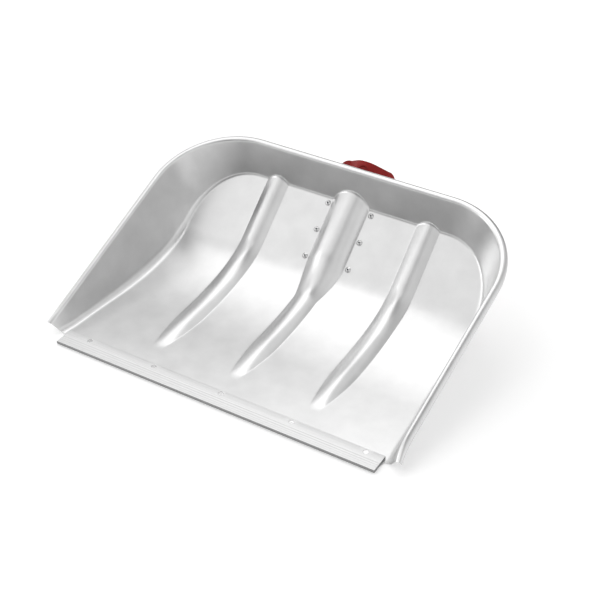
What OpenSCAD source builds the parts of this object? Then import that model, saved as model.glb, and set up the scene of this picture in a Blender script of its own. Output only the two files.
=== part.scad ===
// Head of a snow shovel: a pressed aluminium pan, a riveted wear strip and a moulded socket.
// Lengths are millimetres and angles degrees. X runs across the pan, Y from the wear strip
// back to the socket and Z up. The pan lies on its flat belly at Z = 0.

/* [Pan] */
// Width over the rolled rim
pan_w = 500; // [400:1:620]
// Length from the front of the wear strip to the inside of the rear wall, at the rim
pan_l = 343; // [285:1:420]
// Height of the rear wall above the fold at its foot
rear_wall_h = 50; // [40:0.5:75]
// Height of the rim above the ground at its front ends
tip_h = 22.5; // [18:0.5:30]
// Angle by which each side of the rim closes towards the front
side_taper = 0.9; // [0:0.1:3]
// Radius of the rear corners, along the rim
corner_r = 100; // [70:1:125]
// Thickness of the aluminium sheet
sheet = 1.5; // [1:0.1:2.5]
// Length of the straight rise, from the rear wall down to the bend
rise_l = 88.4; // [73:0.1:108]
// Bend radius between the belly and the rise
bend_r = 140; // [110:1:170]
// Angle at which the rear of the plate rises
plate_a = 40.5; // [33:0.5:49]
// Lean of the side walls from upright
side_lean = 14; // [8:0.5:20]
// Lean of the rear wall from upright
rear_lean = 1; // [0:0.5:5]
// Fold radius between the side walls and the plate
side_fold_r = 9; // [6:0.5:12]
// Fold radius between the rear wall and the plate
rear_fold_r = 6; // [4:0.5:9]

/* [Rim] */
// Width of the flange outside the wall
flange_w = 9.2; // [8.4:0.1:14]
// Length of the lip's straight edge below its bend
lip_edge = 0.6; // [0.3:0.1:3]
// Bend radius between the wall and the flange
rim_bend_r = 3.5; // [2:0.1:4]
// Bend radius between the flange and the lip
lip_bend_r = 5.5; // [2:0.1:6]

/* [Ribs] */
// Gap between each side rib and the start of the rear corner
rib_corner_gap = 11.8; // [4:0.1:20]
// Crest height of the narrow ribs
rib_c = 6; // [4:0.1:9]
// Half-width of the narrow ribs, over the foot fillets
rib_hw = 17; // [14:0.5:20]
// Fillet radius at the feet of the narrow ribs
rib_foot_r = 3; // [2:0.1:6]
// Distance of the ribs' front tips from the front of the wear strip
rib_tip_y = 62; // [45:1:90]
// Length over which the ribs keep their full height in front of the bend
rib_flat_l = 47; // [20:1:60]
// Share of its width that a rib keeps at its tip
rib_tip_share = 0.5; // [0.3:0.05:1]
// Crest height of the wide hump over the handle
hump_c = 14; // [10:0.1:18]
// Distance of each foot of the hump beyond the side of the handle's hole
hump_side = 8.8; // [6:0.1:12]
// Fillet radius at the feet of the hump
hump_foot_r = 3; // [2:0.1:6]
// Distance from the front end of the handle to the start of the neck
neck_start = 6; // [0:0.5:15]
// Length over which the hump necks down to the narrow rib
neck_l = 46; // [30:1:60]

/* [Wear strip] */
// Gap between each end of the strip and the fold of the side wall
strip_side_gap = 1.1; // [0.5:0.1:30]
// Width of the strip from front to rear
strip_w = 27; // [24:0.5:34]
// Thickness of the strip
strip_t = 5; // [4.5:0.1:7]
// Overlap of the strip over the front of the plate
strip_lap = 13.5; // [11:0.5:15]
// Bevel along the lower front edge
strip_bevel = 1.5; // [0:0.1:2]
// Number of drawn grooves along the top
groove_n = 4; // [0:1:5]
// Spacing of the grooves
groove_pitch = 3.5; // [2.5:0.1:4]
// Depth of each groove, half its width
groove_d = 0.6; // [0.2:0.1:1]
// Number of rivets through the strip
strip_rivet_n = 5; // [2:1:9]
// Distance of the first rivet from the left end of the strip
strip_left = 35; // [12:0.5:60]
// Distance of the last rivet from the right end of the strip
strip_right = 22; // [12:0.5:60]
// Distance of the row of rivets from the rear edge of the strip
strip_rivet_edge = 5; // [4.5:0.1:7]
// Shank diameter of the strip rivets
strip_rivet_d = 4; // [3:0.1:5]
// Diameter of their countersunk heads
strip_head_d = 7; // [6:0.1:8]

/* [Handle socket] */
// Diameter of the handle that the socket takes
handle_d = 36; // [29:0.5:44]
// Wall of the socket's half-pipe
pipe_wall = 3.8; // [2.5:0.1:5]
// Thickness of the riveting flange
socket_flange = 3; // [2:0.1:5]
// Distance from the rivets to the side edges of the flange
flange_side = 8; // [6:0.5:14]
// Distance from the front rivets to the front end of the flange
flange_front = 14; // [8:0.5:20]
// Corner radius of the flange, seen from above
socket_corner_r = 12; // [4:1:20]
// Distance of the flange's rear end behind the rear wall, along the plate
flange_rear = 30; // [24:1:36]
// Distance of the collar's rear face behind the rear wall, along the plate
socket_rear = 58; // [50:1:70]
// Length of the closed collar round the handle
collar_l = 24; // [20:0.5:28]
// Slope of the collar's shoulders
shoulder_a = 41; // [30:1:50]
// Depth of the collar's wings below the plate's upper face
wing_drop = 6; // [4:0.1:8]
// Depth that the handle goes into the socket
handle_depth = 144; // [120:1:160]
// Diameter of the hole for the handle's fixing screw
screw_d = 5; // [3:0.1:6]
// Diameter of the recess for the screw's head
screw_head_d = 15; // [12:0.5:18]
// Depth of that recess
screw_sink = 1.6; // [1:0.1:2.4]
// Distance of the screw hole in front of the collar's rear face
screw_back = 14; // [10:0.5:16]

/* [Blind rivets] */
// Gap between the heads and the foot of the hump
rivet_hump_gap = 1; // [0.5:0.1:4]
// Gap between the rear heads and the fold of the rear wall
rivet_fold_gap = 0.8; // [0.3:0.1:4]
// Gap between the front heads and the start of the bend
rivet_bend_gap = 0.3; // [0.2:0.1:4]
// Shank diameter
rivet_d = 4; // [3:0.1:4.5]
// Head diameter
rivet_head_d = 8; // [6:0.1:8.5]
// Head height
rivet_head_h = 1.8; // [1:0.1:2.5]
// Diameter of the mandrel locked in the rivet
mandrel_d = 2.2; // [1.6:0.1:2.4]
// Outer diameter of the backing washers
washer_d = 10; // [8:0.1:11]
// Thickness of the backing washers
washer_t = 1; // [0.5:0.1:1.6]

/* [Fits] */
// Gap between parts that lie on each other
seat_gap = 0.1; // [0.05:0.01:0.3]
// Gap round a rivet in its hole, on the radius
hole_gap = 0.1; // [0.05:0.01:0.3]
// Gap round the handle in its hole, on the radius
handle_gap = 0.2; // [0.1:0.05:0.5]
// Gap between the top of the collar and the level of the hump's sheet
hump_gap = 1.5; // [0.3:0.1:4]

/* [Hidden] */
$fn = 48;
aluminium = "#d9dadb";
steel = "#b9bcbf";
socket_red = "#96302f";

// Steps of the pressed sheet: along the sides, the corner arcs and each bend
flat_rows = 3;
run_rows = 5;
rib_rows = 3;
bend_rows = 9;
arc_steps = 16;
fold_steps = 4;
rim_steps = 3;
lip_steps = 4;
centre_share = [0.22, 0.43, 0.6, 0.74, 0.85, 0.93, 1];
side_share = [-1, -0.84, -0.6, -0.3, 0, 0.3, 0.6, 0.84, 1];

// The plate: flat belly, bend and straight rise to the fold at the rear wall
front_y = strip_w - strip_lap;
fold_y = pan_l - rear_wall_h * tan(rear_lean);
bend_y = fold_y - rise_l * cos(plate_a);
belly_l = bend_y - bend_r * sin(plate_a);
bend_z = sheet + bend_r * (1 - cos(plate_a));
fold_z = bend_z + rise_l * sin(plate_a);

// The rim: its plane, its half-width and the centre of each corner arc
rim_h = fold_z + rear_wall_h;
rim_slope = atan((rim_h - tip_h) / (pan_l - front_y));
rim_out = [0, sin(rim_slope), -cos(rim_slope)];
rim_hw = pan_w / 2 - flange_w;
corner_x = rim_hw - corner_r * cos(side_taper);
side_start = corner_r * (1 + sin(side_taper));

// The ribs, and the hump that makes room for the handle
bore_r = handle_d / 2 + handle_gap;
rib_x = corner_x - rib_corner_gap - rib_hw;
rib_run_l = belly_l - rib_flat_l - rib_tip_y;
hump_hw = bore_r + hump_side;
hump_l = handle_depth - socket_rear + neck_start;
neck_rear_y = fold_y - hump_l * cos(plate_a);
neck_front_y = neck_rear_y - neck_l;

// The strip, which ends just inside the folds of the side walls
strip_fold_back = side_fold_r * tan((90 - side_lean) / 2);
strip_wall_h = rim_h - (pan_l - strip_w) * tan(rim_slope) - sheet;
strip_hw = side_x(strip_w) - strip_wall_h * tan(side_lean) - strip_fold_back - strip_side_gap;
strip_rivet_pitch = (2 * strip_hw - strip_left - strip_right) / (strip_rivet_n - 1);

// The blind rivets, spread in pairs along the straight rise
rivet_head_r = rivet_head_d / 2;
rivet_x = hump_hw + rivet_hump_gap + rivet_head_r;
rivet_start = rear_fold_r * tan((90 - plate_a - rear_lean) / 2) + rivet_fold_gap + rivet_head_r;
rivet_rows = 3;
rivet_pitch = (rise_l - rivet_bend_gap - rivet_head_r - rivet_start) / (rivet_rows - 1);
rivet_end = rivet_start + (rivet_rows - 1) * rivet_pitch;
rivet_count = 2 * rivet_rows;

// The socket: its axis under the hump, its outer radius and where its nose touches the ground
pipe_r = bore_r + pipe_wall;
axis_z = hump_c - sheet - hump_gap - pipe_r;
nose_a = (pipe_r - fold_z - axis_z * cos(plate_a)) / sin(plate_a);
socket_hw = rivet_x + flange_side;
socket_front = rivet_end + flange_front;
flange_top = -sheet - seat_gap;
washer_top = flange_top - socket_flange - seat_gap;
rivet_tail = washer_top - washer_t - seat_gap;

// The rivets' formed ends: tails under the washers, and countersinks that lie just below flush
tail_r = 0.75 * rivet_d;
tail_h = 0.75 * rivet_d;
mandrel_head_h = 0.6 * rivet_d;
strip_sink = 0.2;
strip_sink_r = strip_rivet_d / 2 + 1;

// The whole head, from the strip's front to the lowest point of the collar
head_l = fold_y + socket_rear * cos(plate_a) + (pipe_r - axis_z) * sin(plate_a);

strip_nodes = [for (i = [1:strip_rivet_n]) str("strip_rivet_", i)];
rivet_nodes = [for (i = [1:rivet_count]) str("socket_rivet_", i)];
mandrel_nodes = [for (i = [1:rivet_count]) str("rivet_mandrel_", i)];
washer_nodes = [for (i = [1:rivet_count]) str("rivet_washer_", i)];

function unit(v) = v / norm(v);
function ease(t) = t <= 0 ? 0 : t >= 1 ? 1 : t * t * (3 - 2 * t);
function rise(t) = t <= 0 ? 0 : t >= 1 ? 1 : sin(90 * t);
function clamp(t) = max(0, min(1, t));
function steps(from, to, n) = [for (i = [1:n]) from + (to - from) * i / n];

// Height and tilt of the plate's upper face along the pan
function plate_z(y) =
    y <= belly_l ? sheet
    : y >= bend_y ? bend_z + (y - bend_y) * tan(plate_a)
    : sheet + bend_r - sqrt(bend_r ^ 2 - (y - belly_l) ^ 2);
function plate_tilt(y) =
    y <= belly_l ? 0 : y >= bend_y ? plate_a : asin((y - belly_l) / bend_r);

// Height of a round ridge with foot fillets, at distance d from its middle
function ridge(d, crest, hw, foot_r) =
    let (top_r = (hw ^ 2 / crest + crest) / 2 - foot_r)
    let (touch = hw * top_r / (top_r + foot_r))
    d >= hw ? 0
    : d <= touch ? crest - top_r + sqrt(top_r ^ 2 - d ^ 2)
    : foot_r - sqrt(foot_r ^ 2 - (hw - d) ^ 2);

// Crest and half-width of the ribs along the pan
function run(y) = (y - rib_tip_y) / rib_run_l;
function side_crest(y) = max(0.01, rib_c * rise(run(y)));
function side_hw(y) = rib_hw * (rib_tip_share + (1 - rib_tip_share) * rise(run(y)));
function neck(y) = (y - neck_front_y) / (neck_rear_y - neck_front_y);
function centre_crest(y) = side_crest(y) + (hump_c - rib_c) * ease(neck(y));
function centre_hw(y) = side_hw(y) + (hump_hw - rib_hw) * clamp(neck(y));
function centre_foot_r(y) = rib_foot_r + (hump_foot_r - rib_foot_r) * clamp(neck(y));

// Upper face of the plate with its ribs
function rib_z(x, y) = max(
    ridge(abs(abs(x) - rib_x), side_crest(y), side_hw(y), rib_foot_r),
    ridge(abs(x), centre_crest(y), centre_hw(y), centre_foot_r(y)));
function floor_z(x, y) = plate_z(y) + rib_z(x, y) / cos(plate_tilt(y));
function floor_normal(x, y, h = 0.2) = unit([
    (floor_z(x - h, y) - floor_z(x + h, y)) / (2 * h),
    (floor_z(x, y - h) - floor_z(x, y + h)) / (2 * h), 1]);

// Lengthwise lines of the sheet, which follow the ribs
centre_line = concat([for (i = [len(centre_share) - 1:-1:0]) -centre_share[i]], [0], centre_share);
function columns(y) = concat(
    [for (s = side_share) s * side_hw(y) - rib_x],
    [for (s = centre_line) s * centre_hw(y)],
    [for (s = side_share) s * side_hw(y) + rib_x]);

// Stations round the rim from the front left to the front right. Each holds its rim point,
// its level direction into the pan, the lean of its wall and its fold radius.
function rim_point(x, s) = [x, pan_l - s * cos(rim_slope), rim_h - s * sin(rim_slope)];
function station(x, s, turn) = [
    rim_point(x, s),
    unit([-sign(x) * cos(turn), -sin(turn) * cos(rim_slope), 0]),
    tan(side_lean) * cos(turn) ^ 2 + tan(rear_lean) * sin(turn) ^ 2,
    side_fold_r * cos(turn) ^ 2 + rear_fold_r * sin(turn) ^ 2];
function side_x(y) = rim_hw - ((pan_l - y) / cos(rim_slope) - side_start) * tan(side_taper);
function side_station(y) = station(-side_x(y), (pan_l - y) / cos(rim_slope), 0);
function arc_station(turn) =
    station(-corner_x - corner_r * cos(turn), corner_r * (1 - sin(turn)), turn);
side_end_y = pan_l - side_start * cos(rim_slope);
side_y = concat([front_y],
    steps(front_y, rib_tip_y - 1, flat_rows),
    steps(rib_tip_y, rib_tip_y + rib_run_l, run_rows),
    steps(rib_tip_y + rib_run_l, belly_l, rib_rows),
    steps(belly_l, side_end_y, bend_rows));
left_stations = concat(
    [for (y = side_y) side_station(y)],
    [for (i = [1:arc_steps]) arc_station(90 * i / arc_steps)]);
rear_stations = [for (x = columns(fold_y)) station(x, 0, 90)];
rows = len(left_stations);
stations = concat(left_stations, rear_stations, [for (i = [rows - 1:-1:0]) mirrored(left_stations[i])]);
function mirrored(s) = [flip(s[0]), flip(s[1]), s[2], s[3]];
function flip(p) = [-p.x, p.y, p.z];

// A rounded corner at v between the unit directions a and b
function corner(v, a, b, r, n) =
    let (half = acos(a * b) / 2)
    let (mid = v + unit(a + b) * r / sin(half))
    let (p = v + a * r / tan(half) - mid)
    let (q = v + b * r / tan(half) - mid)
    let (sweep = 180 - 2 * half)
    [for (i = [0:n]) mid + (p * sin(sweep * (1 - i / n)) + q * sin(sweep * i / n)) / sin(sweep)];

// The wall's drop from the rim to the plate, found by repeated substitution
function drop(s, d = 0, n = 8) =
    n == 0 ? d
    : drop(s, s[0].z - floor_z(s[0].x + s[1].x * s[2] * d, s[0].y + s[1].y * s[2] * d), n - 1);

// Section of the sheet at a station: lip, flange, wall and fold, then one point on the plate
function section(s) =
    let (rim = s[0], into = s[1], fall = unit([into.x * s[2], into.y * s[2], -1]))
    let (out = unit([-into.x, -into.y, -into.y * tan(rim_slope)]))
    let (edge = rim + out * flange_w)
    let (d = drop(s), foot = rim + [into.x * s[2] * d, into.y * s[2] * d, -d])
    let (ahead = foot + into)
    let (inward = unit([into.x, into.y, floor_z(ahead.x, ahead.y) - floor_z(foot.x, foot.y)]))
    let (fold = corner(foot, -fall, inward, s[3], fold_steps))
    concat([edge + rim_out * (lip_bend_r + lip_edge)],
        corner(edge, rim_out, -out, lip_bend_r, lip_steps),
        corner(rim, out, fall, rim_bend_r, rim_steps),
        fold, [fold[fold_steps] + inward * s[3] / fold_steps]);

// The sheet's upper face: a band of sections round the rim and rows of points on the plate
sections = [for (s = stations) section(s)];
last_u = len(stations) - 1;
last_k = len(sections[0]) - 2;
last_i = last_u - 2 * (rows - 1);
band_top = [for (u = [0:last_u]) for (k = [0:last_k]) sections[u][k]];
band_normals = [for (u = [0:last_u]) for (k = [0:last_k]) band_normal(u, k)];
function band_normal(u, k) =
    let (along = sections[min(u + 1, last_u)][k] - sections[max(u - 1, 0)][k])
    let (across = sections[u][k + 1] - sections[u][max(k - 1, 0)])
    let (n = unit(cross(across, along)))
    u == 0 || u == last_u ? unit([n.x, 0, n.z]) : n;
plate_top = [for (r = [0:rows - 2])
    let (y = sections[r][last_k].y)
    for (x = columns(y)) [x, y, floor_z(x, y)]];
plate_normals = [for (p = plate_top)
    let (n = floor_normal(p.x, p.y))
    p.y <= front_y ? unit([n.x, 0, n.z]) : n];
sheet_top = concat(band_top, plate_top);
sheet_normals = concat(band_normals, plate_normals);
sheet_n = len(sheet_top);
sheet_points = concat(sheet_top, [for (i = [0:sheet_n - 1]) sheet_top[i] - sheet * sheet_normals[i]]);

// Numbers of the points: b in the band, p in the rows of the plate
function b(u, k) = u * (last_k + 1) + k;
function p(r, i) =
    i == 0 ? b(r, last_k)
    : i == last_i ? b(last_u - r, last_k)
    : r == rows - 1 ? b(r + i, last_k)
    : len(band_top) + r * (last_i - 1) + i - 1;
function quad(a, b, c, d) = [[a, b, c], [a, c, d]];
upper = concat(
    [for (u = [0:last_u - 1]) for (k = [0:last_k - 1])
        each quad(b(u, k), b(u, k + 1), b(u + 1, k + 1), b(u + 1, k))],
    [for (r = [0:rows - 2]) for (i = [0:last_i - 1])
        each quad(p(r, i), p(r, i + 1), p(r + 1, i + 1), p(r + 1, i))]);
lower = [for (f = upper) [f[2] + sheet_n, f[1] + sheet_n, f[0] + sheet_n]];
front_line = concat([for (k = [0:last_k]) b(0, k)], [for (i = [1:last_i - 1]) p(0, i)],
    [for (k = [last_k:-1:0]) b(last_u, k)]);
edge_line = concat(front_line, [for (u = [last_u - 1:-1:0]) b(u, 0)]);
edge = [for (i = [0:len(edge_line) - 2])
    each quad(edge_line[i + 1], edge_line[i], edge_line[i] + sheet_n, edge_line[i + 1] + sheet_n)];

// Places children on the plate's rise: X across, Y up the plate from the rear fold, Z square to it
module on_plate() {
    translate([0, fold_y, fold_z])
        rotate([plate_a, 0, 0])
            children();
}

// Moves the head so that the middle of its floor plan is at the origin
module centred() {
    translate([0, -head_l / 2, 0])
        children();
}

// Places of the rivets: the strip's from left to right, the socket's in pairs from the rear
function strip_rivet_place(i) = [
    strip_left - strip_hw + (i - 1) * strip_rivet_pitch, strip_w - strip_rivet_edge, 0];
function rivet_place(i) = [
    (i % 2 == 1 ? -1 : 1) * rivet_x, -rivet_start - floor((i - 1) / 2) * rivet_pitch, 0];

// The space under the plate, at a depth below its upper face, as a lengthwise section
module under_plate(depth) {
    far_y = head_l;
    line_z = bend_z + (far_y - bend_y) * tan(plate_a) - depth / cos(plate_a);
    difference() {
        polygon([
            [belly_l, -pipe_r],
            [far_y, -pipe_r],
            [far_y, line_z],
            [bend_y + depth * sin(plate_a), bend_z - depth * cos(plate_a)],
            [belly_l, sheet + bend_r]]);
        translate([belly_l, sheet + bend_r])
            circle(bend_r + depth, $fn = 360);
    }
}

// Draws a lengthwise section across the given width
module across(w) {
    rotate([90, 0, 90])
        linear_extrude(w, center = true)
            children();
}

// A rectangle with round corners, from y0 to y1
module round_rect(w, y0, y1, r) {
    translate([-w / 2, y0 + r])
        square([w, y1 - y0 - 2 * r]);
    translate([r - w / 2, y0])
        square([w - 2 * r, y1 - y0]);
    for (x = [-1, 1], y = [y0 + r, y1 - r])
        translate([x * (w / 2 - r), y])
            circle(r);
}

module sheet_metal() {
    polyhedron(sheet_points, concat(upper, lower, edge), convexity = 10);
}

// A pan pressed from one sheet, with drafted walls, ribs, a rolled rim and rivet holes
module blade_pan() {
    color(aluminium)
        centred()
            difference() {
                sheet_metal();
                for (i = [1:strip_rivet_n])
                    translate(strip_rivet_place(i)) {
                        translate([0, 0, -sheet])
                            cylinder(r = strip_rivet_d / 2 + hole_gap, h = 3 * sheet);
                        translate([0, 0, -strip_sink])
                            cylinder(r1 = strip_sink_r + hole_gap, r2 = hole_gap, h = strip_sink_r);
                    }
                on_plate()
                    rivet_holes();
            }
}

// Holes for the six blind rivets, through the plate and the socket's flange
module rivet_holes() {
    for (i = [1:rivet_count])
        translate(rivet_place(i) + [0, 0, washer_top])
            cylinder(r = rivet_d / 2 + hole_gap, h = -2 * washer_top);
}

// A drawn strip with grooves along its top and a rebate for the front of the plate
module wear_strip() {
    color(aluminium)
        centred()
            difference() {
                across(2 * strip_hw)
                    strip_section();
                for (i = [1:strip_rivet_n])
                    translate(strip_rivet_place(i)) {
                        cylinder(r = strip_rivet_d / 2 + hole_gap, h = 2 * strip_t);
                        translate([0, 0, strip_t - strip_head_d / 2])
                            cylinder(r1 = hole_gap, r2 = strip_head_d / 2 + hole_gap, h = strip_head_d / 2);
                    }
            }
}

module strip_section() {
    step_y = front_y - seat_gap;
    step_z = sheet + seat_gap;
    difference() {
        polygon([
            [strip_bevel, 0],
            [step_y, 0],
            [step_y, step_z],
            [strip_w, step_z],
            [strip_w, strip_t],
            [0, strip_t],
            [0, strip_bevel]]);
        for (i = [1:groove_n])
            translate([i * groove_pitch, strip_t])
                rotate(45)
                    square(groove_d * sqrt(2), center = true);
    }
}

// A solid rivet, flush with the strip above and with the plate below
module strip_rivet(i) {
    head_r = strip_head_d / 2;
    color(aluminium)
        centred()
            translate(strip_rivet_place(i))
                rotate_extrude()
                    polygon([
                        [0, strip_sink],
                        [strip_sink_r - 2 * strip_sink, strip_sink],
                        [strip_rivet_d / 2, strip_sink_r - strip_rivet_d / 2 - strip_sink],
                        [strip_rivet_d / 2, strip_t - head_r + strip_rivet_d / 2],
                        [head_r - strip_sink, strip_t - strip_sink],
                        [0, strip_t - strip_sink]]);
}

// A moulded half-pipe under the plate, with a riveting flange and a collar that takes the handle
module handle_socket() {
    color(socket_red)
        centred()
            difference() {
                union() {
                    intersection() {
                        across(pan_w)
                            under_plate(-flange_top);
                        union() {
                            on_plate()
                                half_pipe();
                            socket_band();
                        }
                    }
                    on_plate()
                        intersection() {
                            collar();
                            socket_plan(socket_rear);
                        }
                }
                on_plate() {
                    translate([0, socket_rear - handle_depth, axis_z])
                        rotate([-90, 0, 0])
                            cylinder(r = bore_r, h = 2 * handle_depth);
                    translate([0, socket_rear - screw_back, axis_z]) {
                        cylinder(d = screw_d, h = 2 * pipe_r);
                        translate([0, 0, pipe_r - screw_sink])
                            cylinder(d = screw_head_d, h = pipe_r);
                    }
                    rivet_holes();
                }
            }
}

// The riveting flange, which follows the plate round its bend, before it is cut along the plate
module socket_band() {
    intersection() {
        across(pan_w)
            difference() {
                under_plate(0);
                under_plate(socket_flange - flange_top);
            }
        on_plate()
            socket_plan(flange_rear);
    }
}

// The pipe with its round nose, before it is cut along the plate
module half_pipe() {
    translate([0, nose_a, axis_z]) {
        sphere(pipe_r);
        rotate([-90, 0, 0])
            cylinder(r = pipe_r, h = socket_rear - nose_a);
    }
}

// The socket's outline seen from above, as a tall block
module socket_plan(rear) {
    translate([0, 0, -2 * pipe_r])
        linear_extrude(4 * pipe_r)
            round_rect(2 * socket_hw, -socket_front, rear, socket_corner_r);
}

// The collar: a ring round the handle, with shoulders that slope down to a wing on each side
module collar() {
    wing_z = -wing_drop - axis_z;
    reach = pipe_r * [sin(shoulder_a), cos(shoulder_a)];
    shoulder_x = reach.x + (reach.y - wing_z) / tan(shoulder_a);
    translate([0, socket_rear, axis_z])
        rotate([90, 0, 0])
            linear_extrude(collar_l) {
                circle(pipe_r);
                polygon([
                    [-socket_hw, wing_z - socket_flange],
                    [socket_hw, wing_z - socket_flange],
                    [socket_hw, wing_z],
                    [shoulder_x, wing_z],
                    reach,
                    [-reach.x, reach.y],
                    [-shoulder_x, wing_z],
                    [-socket_hw, wing_z]]);
            }
}

// The body of a blind rivet, with a domed head on the plate and a swelled tail under the washer
module socket_rivet(i) {
    dome_r = (rivet_head_r ^ 2 + rivet_head_h ^ 2) / (2 * rivet_head_h);
    color(aluminium)
        centred()
            on_plate()
                translate(rivet_place(i))
                    difference() {
                        union() {
                            intersection() {
                                translate([0, 0, seat_gap + rivet_head_h - dome_r])
                                    sphere(dome_r);
                                translate([0, 0, seat_gap])
                                    cylinder(r = rivet_head_r, h = rivet_head_h);
                            }
                            translate([0, 0, rivet_tail - tail_h])
                                cylinder(d = rivet_d, h = seat_gap + tail_h - rivet_tail);
                            translate([0, 0, rivet_tail - tail_h])
                                cylinder(r1 = rivet_d / 2, r2 = tail_r, h = tail_h / 2);
                            translate([0, 0, rivet_tail - tail_h / 2])
                                cylinder(r = tail_r, h = tail_h / 2);
                        }
                        translate([0, 0, rivet_tail - 2 * tail_h])
                            cylinder(r = mandrel_d / 2 + hole_gap, h = 4 * tail_h - rivet_tail);
                    }
}

// The mandrel that stays in the rivet: a stem broken off inside the head, and its own head
module rivet_mandrel(i) {
    tail_end = rivet_tail - tail_h - seat_gap;
    color(steel)
        centred()
            on_plate()
                translate(rivet_place(i)) {
                    translate([0, 0, tail_end])
                        cylinder(d = mandrel_d, h = rivet_head_h / 2 - tail_end);
                    translate([0, 0, tail_end - mandrel_head_h])
                        cylinder(r1 = mandrel_d / 2, r2 = rivet_d / 2, h = mandrel_head_h);
                }
}

// A plain washer that spreads the rivet's load under the flange
module rivet_washer(i) {
    color(steel)
        centred()
            on_plate()
                translate(rivet_place(i) + [0, 0, washer_top - washer_t])
                    difference() {
                        cylinder(d = washer_d, h = washer_t);
                        translate([0, 0, -washer_t])
                            cylinder(r = rivet_d / 2 + hole_gap, h = 3 * washer_t);
                    }
}

blade_pan();
wear_strip();
handle_socket();
for (i = [1:strip_rivet_n])
    strip_rivet(i);
for (i = [1:rivet_count]) {
    socket_rivet(i);
    rivet_mandrel(i);
    rivet_washer(i);
}
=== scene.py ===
import math

import bmesh
import bpy
import numpy as np
from mathutils import Matrix, Vector


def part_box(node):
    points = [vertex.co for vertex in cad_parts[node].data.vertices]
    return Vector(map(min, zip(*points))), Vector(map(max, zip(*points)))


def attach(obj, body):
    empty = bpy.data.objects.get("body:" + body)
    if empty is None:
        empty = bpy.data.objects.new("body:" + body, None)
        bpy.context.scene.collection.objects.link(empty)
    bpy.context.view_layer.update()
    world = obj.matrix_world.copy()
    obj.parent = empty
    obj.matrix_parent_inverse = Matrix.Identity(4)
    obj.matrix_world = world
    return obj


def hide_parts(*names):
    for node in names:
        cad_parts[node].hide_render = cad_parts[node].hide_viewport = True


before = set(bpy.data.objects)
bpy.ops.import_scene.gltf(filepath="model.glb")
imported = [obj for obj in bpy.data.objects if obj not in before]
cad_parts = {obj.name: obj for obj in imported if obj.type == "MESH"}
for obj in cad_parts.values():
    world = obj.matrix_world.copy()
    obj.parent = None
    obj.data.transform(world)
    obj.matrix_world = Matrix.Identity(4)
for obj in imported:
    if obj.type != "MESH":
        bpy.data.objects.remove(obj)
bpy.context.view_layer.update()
scene = bpy.context.scene
print("frame loaded:", len(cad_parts), "nodes")

mm = 0.001


# degrees throughout, as on a drawing
def sinD(a):
    return np.sin(np.radians(a))


def cosD(a):
    return np.cos(np.radians(a))


def tanD(a):
    return np.tan(np.radians(a))


def unit(v):
    return v / np.linalg.norm(v, axis=-1, keepdims=True)


# 0 to 1, slow at both ends
def eased(t):
    return t * t * (3 - 2 * t)


# sRGB hex to the linear colour that the sockets take
def hexColour(text):
    channels = [int(text[i:i + 2], 16) / 255 for i in (1, 3, 5)]
    return [c / 12.92 if c <= 0.04045 else ((c + 0.055) / 1.055) ** 2.4 for c in channels] + [1.0]


# one node, with its settings and what is linked into it
def addNode(tree, kind, settings=None, inputs=None):
    node = tree.nodes.new(kind)
    for name, value in (settings or {}).items():
        setattr(node, name, value)
    for name, value in (inputs or {}).items():
        if isinstance(value, bpy.types.NodeSocket):
            tree.links.new(value, node.inputs[name])
        else:
            node.inputs[name].default_value = value
    return node


def newMaterial(name):
    material = bpy.data.materials.new(name)
    material.use_nodes = True
    material.node_tree.nodes.clear()
    return material, material.node_tree


# points in millimetres
def newMesh(name, points, faces):
    mesh = bpy.data.meshes.new(name)
    mesh.from_pydata([[c * mm for c in p] for p in points], [], faces)
    mesh.update()
    return mesh


def newPiece(name, points, faces, material, slot, *nodes):
    mesh = newMesh(name, points, faces)
    piece = bpy.data.objects.new(name, mesh)
    scene.collection.objects.link(piece)
    mesh.materials.append(material)
    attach(piece, "root")
    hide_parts(*nodes)
    return piece


def smoothShade(piece, angle):
    piece.data.shade_smooth()
    piece.data.set_sharp_from_angle(angle=math.radians(angle))


# takes the cutter's shape out of the piece and removes the cutter
def cutOut(piece, points, faces):
    mesh = newMesh("cutter", points, faces)
    mesh.materials.append(piece.data.materials[0])   # the cut faces are of the piece's own metal
    cutter = bpy.data.objects.new("cutter", mesh)
    scene.collection.objects.link(cutter)
    step = piece.modifiers.new("holes", "BOOLEAN")
    step.operation, step.solver, step.object = "DIFFERENCE", "MANIFOLD", cutter
    bpy.context.view_layer.update()
    done = bpy.data.meshes.new_from_object(piece.evaluated_get(bpy.context.evaluated_depsgraph_get()))
    piece.modifiers.clear()
    old, piece.data = piece.data, done
    bpy.data.meshes.remove(old)
    bpy.data.objects.remove(cutter)
    done.name = piece.name


# a turned solid: profile of (radius, height), from the axis at the bottom to the axis at the top
def turned(profile, place, axis, sides=48):
    axis = Vector(axis).normalized()
    turn = Vector((0, 0, 1)).rotation_difference(axis)
    points, faces, rings = [], [], []
    for radius, height in profile:
        if radius == 0:
            rings.append([len(points)])
            points.append(Vector(place) + turn @ Vector((0, 0, height)))
            continue
        rings.append(list(range(len(points), len(points) + sides)))
        for i in range(sides):
            a = 2 * math.pi * i / sides
            around = Vector((radius * math.cos(a), radius * math.sin(a), height))
            points.append(Vector(place) + turn @ around)
    for low, high in zip(rings, rings[1:]):
        for i in range(sides):
            j = (i + 1) % sides
            if len(low) == 1:
                faces.append((low[0], high[j], high[i]))
            elif len(high) == 1:
                faces.append((low[i], low[j], high[0]))
            else:
                faces.append((low[i], low[j], high[j], high[i]))
    return points, faces


# several solids as one list of points and faces
def merged(solids):
    points, faces = [], []
    for somePoints, someFaces in solids:
        start = len(points)
        points += list(somePoints)
        faces += [tuple(i + start for i in f) for f in someFaces]
    return points, faces


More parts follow.
